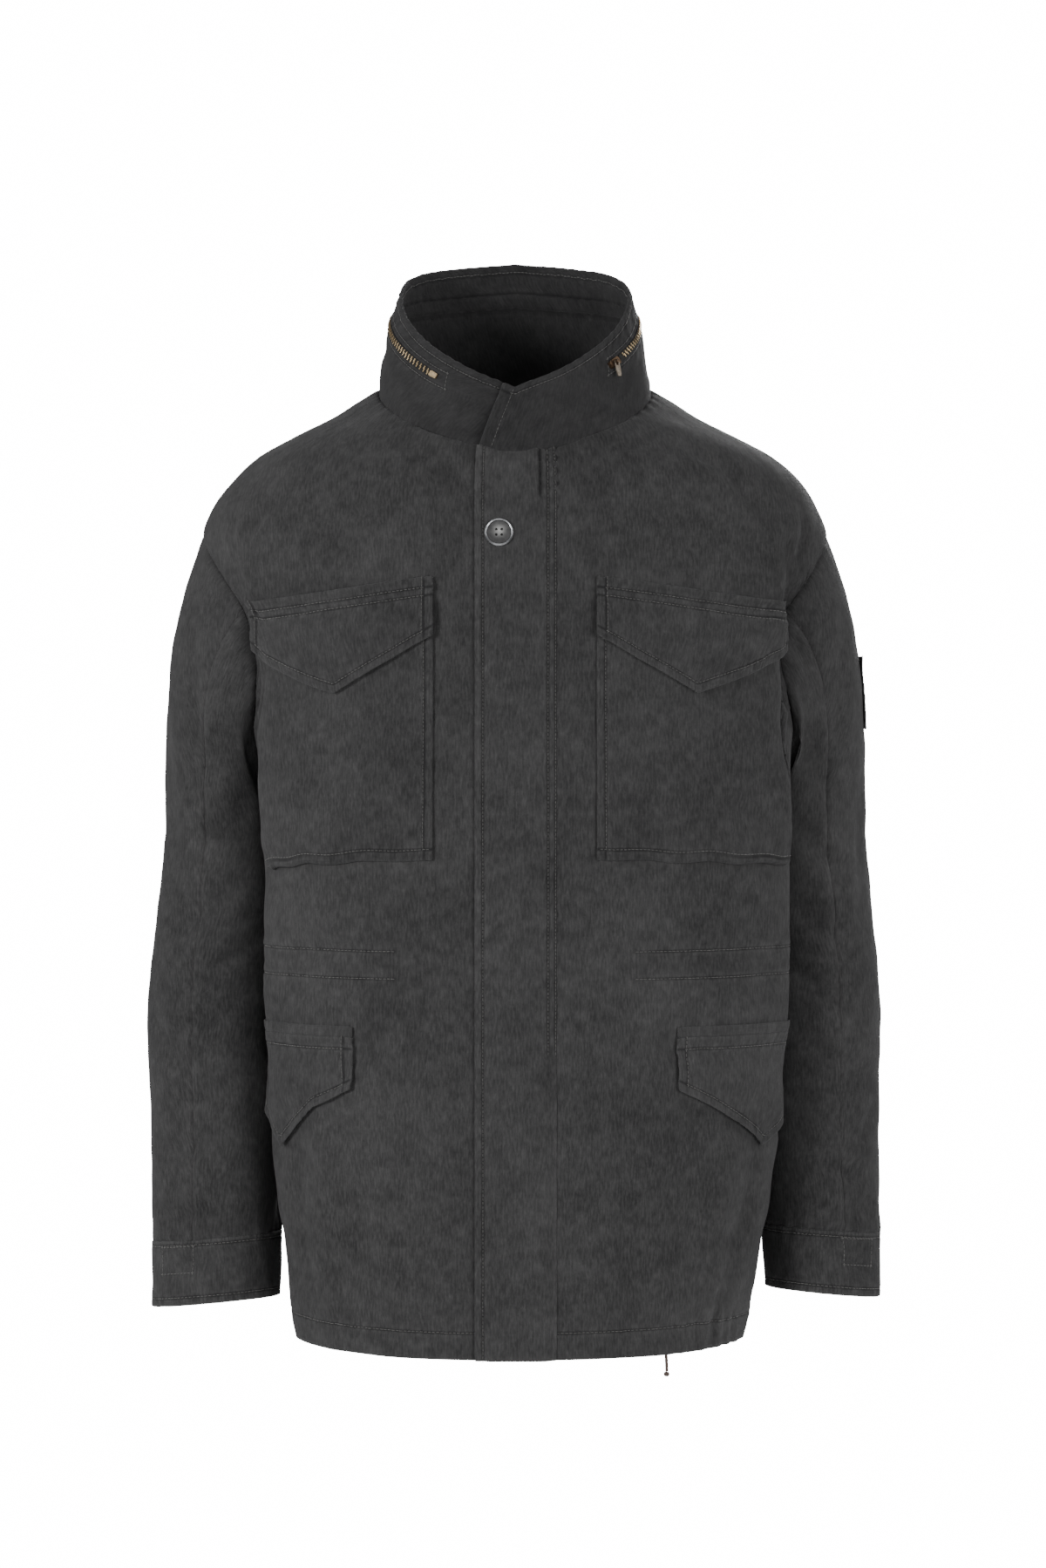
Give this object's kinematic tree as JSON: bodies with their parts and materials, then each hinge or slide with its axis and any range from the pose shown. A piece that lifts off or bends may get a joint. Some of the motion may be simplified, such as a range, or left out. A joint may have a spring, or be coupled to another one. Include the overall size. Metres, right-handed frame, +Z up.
{
  "type": "field jacket",
  "caption": "Worn-form hollow field jacket with a stand collar, storm flap, flapped patch pockets and a hem drawcord.",
  "frame": {"origin": "midway between the shoulders, level with the base of the neck, where the wearer holds the jacket up", "axes": "+Z up, -Y towards the front, +X towards the wearer's left"},
  "size_m": [0.6185, 0.3046, 0.9196],
  "materials": {
    "cloth": "matt washed cotton twill with a faint nap",
    "zip_teeth": "aged brass",
    "zip_slider": "dark bronze",
    "zip_pull": "worn metal",
    "button": "dark, half gloss",
    "button_rim": "bright metal",
    "eyelet": "dark bronze",
    "cord": "waxed brown cord"
  },
  "bodies": {
    "root": {"front_R": "cloth", "front_L": "cloth", "back": "cloth", "sleeve_top_R": "cloth", "sleeve_top_L": "cloth", "sleeve_under_R": "cloth", "sleeve_under_L": "cloth", "cuff_R": "cloth", "cuff_L": "cloth", "chest_pocket_R": "cloth", "chest_pocket_L": "cloth", "chest_flap_R": "cloth", "chest_flap_L": "cloth", "hip_flap_R": "cloth", "hip_flap_L": "cloth", "hip_welt_R": "cloth", "hip_welt_L": "cloth", "collar": "cloth", "fly": "cloth", "sleeve_pocket_L": "cloth", "collar_zip": "zip_teeth", "zip_stop": "zip_teeth", "zip_slider": "zip_slider", "button_rim": "button_rim", "button": "button", "hem_eyelet": "eyelet", "hem_cord": "cord", "cord_knot": "cord"},
    "pull_tab": {"zip_pull": "zip_pull"}
  },
  "joints": [
    {"name": "pull_swing", "type": "hinge", "parent": "root", "child": "pull_tab", "pos_m": [0.08319, -0.06949, 0.01736], "axis": [-0.7869, -0.617, 0], "range_deg": [0, 150]}
  ]
}
